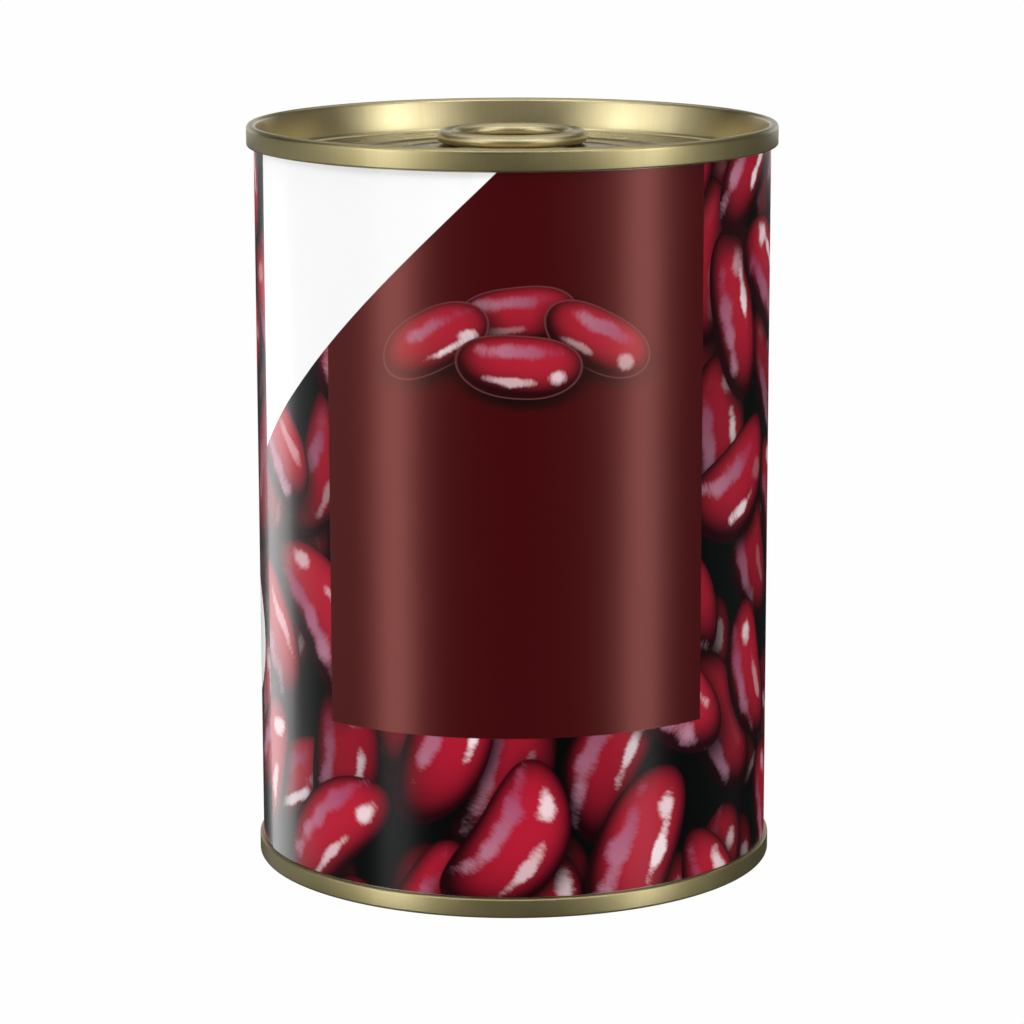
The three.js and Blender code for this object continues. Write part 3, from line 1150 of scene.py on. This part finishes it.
    addNode(tree, "NodeGroupOutput", inputs={"Colour": layered})
    return tree


# Offset-printed paper under a gloss varnish: dark inks, soft but clear reflections
varnish = {
    "panelRoughness": 0.31,
    "printRoughness": 0.24,
    "ior": 1.68,
    "maroonTint": "ff9c92",
    "printTint": "484848",
    "inkEdge": 0.06,
    "cockleScale": 45.0,
    "cockle": 0.12,
}


def printedPaper():
    material, tree = newMaterial("varnishedPrint")
    place = addNode(tree, "ShaderNodeAttribute", {"attribute_name": "printPlace"}).outputs["Vector"]
    parts = addNode(tree, "ShaderNodeSeparateXYZ", inputs={0: place})
    across, up = parts.outputs[0], parts.outputs[1]

    # white corner above a straight diagonal, and a bare white disc round the side
    edgeFall = addNode(
        tree, "ShaderNodeMath", {"operation": "MULTIPLY_ADD"},
        {0: across, 1: -fields["cornerSlope"], 2: up},
    )
    cornerStart = fields["cornerFoot"] - fields["cornerSlope"] * labelForm["leftEdge"]
    discAcross, discUp, discRadius = fields["disc"]
    fromDisc = addNode(
        tree, "ShaderNodeVectorMath", {"operation": "DISTANCE"},
        {0: place, 1: (discAcross, discUp, 0)},
    )

    # each field of plain colour lies inside its edges: measure, limit, 1 for above it or -1 for below
    edges = {
        "frontPanel": (
            (across, fields["panelLeft"], 1),
            (across, fields["panelRight"], -1),
            (up, fields["panelLow"], 1),
        ),
        "backPanel": (
            (across, fields["backLeft"], 1),
            (across, fields["backRight"], -1),
            (up, fields["backLow"], 1),
        ),
        "corner": ((edgeFall, cornerStart, 1), (across, fields["panelRight"], -1)),
        "disc": ((fromDisc.outputs[1], discRadius, -1),),
    }
    field = {}
    for title, limits in edges.items():
        product = None
        for measure, limit, side in limits:
            blur = varnish["inkEdge"] * side
            step = addNode(
                tree, "ShaderNodeMapRange", {}, {0: measure, 1: limit - blur, 2: limit + blur},
            )
            if product:
                step = addNode(tree, "ShaderNodeMath", {"operation": "MULTIPLY"}, {0: product, 1: step})
            product = step
        field[title] = product
    panel = addNode(
        tree, "ShaderNodeMath", {"operation": "MAXIMUM"},
        {0: field["frontPanel"], 1: field["backPanel"]},
    )
    white = addNode(
        tree, "ShaderNodeMath", {"operation": "MAXIMUM"}, {0: field["corner"], 1: field["disc"]},
    )

    colour = addNode(
        tree, "ShaderNodeMix", {"data_type": "RGBA"},
        {0: panel, 6: srgb(ink["gap"]), 7: srgb(ink["maroon"])},
    )
    group = beanGroup()
    for order in range(beans["perCell"] - 1, -1, -1):
        inputs = {"Place": place, "Panel": panel, "Under": colour}
        for word in ("place", "form", "look"):
            name = "bean" + word.capitalize() + str(order)
            kept = addNode(tree, "ShaderNodeAttribute", {"attribute_name": name})
            inputs["Bean " + word] = kept.outputs["Vector"]
        colour = addNode(tree, "ShaderNodeGroup", {"node_tree": group}, inputs)

    final = addNode(
        tree, "ShaderNodeMix", {"data_type": "RGBA"},
        {0: white, 6: colour, 7: srgb(ink["white"])},
    )

    # the paper's own faint cockle, so that reflections waver a little
    onSheet = addNode(tree, "ShaderNodeTexCoord").outputs["Object"]
    cockle = addNode(
        tree, "ShaderNodeTexNoise", {},
        {"Vector": onSheet, "Scale": varnish["cockleScale"], "Detail": 2.0},
    )
    bump = addNode(
        tree, "ShaderNodeBump", {},
        {"Strength": varnish["cockle"], "Distance": 0.001, "Height": cockle.outputs[0]},
    )
    # the dense maroon solid shows through its varnish and warms what it reflects
    bare = addNode(
        tree, "ShaderNodeMath", {"operation": "SUBTRACT", "use_clamp": True}, {0: panel, 1: white},
    )
    tint = addNode(
        tree, "ShaderNodeMix", {"data_type": "RGBA"},
        {0: bare, 6: srgb(varnish["printTint"]), 7: srgb(varnish["maroonTint"])},
    )
    rough = addNode(
        tree, "ShaderNodeMix", {},
        {0: bare, 2: varnish["printRoughness"], 3: varnish["panelRoughness"]},
    )
    shader = addNode(
        tree, "ShaderNodeBsdfPrincipled", {},
        {
            "Base Color": final, "Roughness": rough, "IOR": varnish["ior"],
            "Specular Tint": tint, "Normal": bump,
        },
    )
    addNode(tree, "ShaderNodeOutputMaterial", inputs={"Surface": shader})
    return material


unprinted = {"dark": "d9d7d0", "light": "f0eee8", "fibreScale": 900.0, "roughness": 0.8}


def paperBack():
    material, tree = newMaterial("unprintedPaperBack")
    place = addNode(tree, "ShaderNodeTexCoord").outputs["Object"]
    fibre = addNode(
        tree, "ShaderNodeTexNoise", {},
        {"Vector": place, "Scale": unprinted["fibreScale"], "Detail": 3.0},
    )
    colour = addNode(
        tree, "ShaderNodeMix", {"data_type": "RGBA"},
        {0: fibre.outputs[0], 6: srgb(unprinted["dark"]), 7: srgb(unprinted["light"])},
    )
    shader = addNode(
        tree, "ShaderNodeBsdfPrincipled", {},
        {"Base Color": colour, "Roughness": unprinted["roughness"]},
    )
    addNode(tree, "ShaderNodeOutputMaterial", inputs={"Surface": shader})
    return material


addCamera()
addStudio()
endMetal = lacqueredMetal("goldLacqueredEnd", lacquer["panelRoughness"], True)
tabMetal = lacqueredMetal("goldLacqueredTab", lacquer["tabRoughness"], False)
makeLid(endMetal)
makeTab(tabMetal)
makeRivet(endMetal)
makeBase(endMetal)
makeWall(tinplate())
makeLabel(printedPaper(), paperBack())

# black flags keep the low wing on the left off the metal, so it veils the label alone
flagged = bpy.data.collections.new("lowWingFallsOn")
flagged.objects.link(bpy.data.objects["paperLabel"])
bpy.data.objects["leftEdge"].light_linking.receiver_collection = flagged

print("stage: finished")
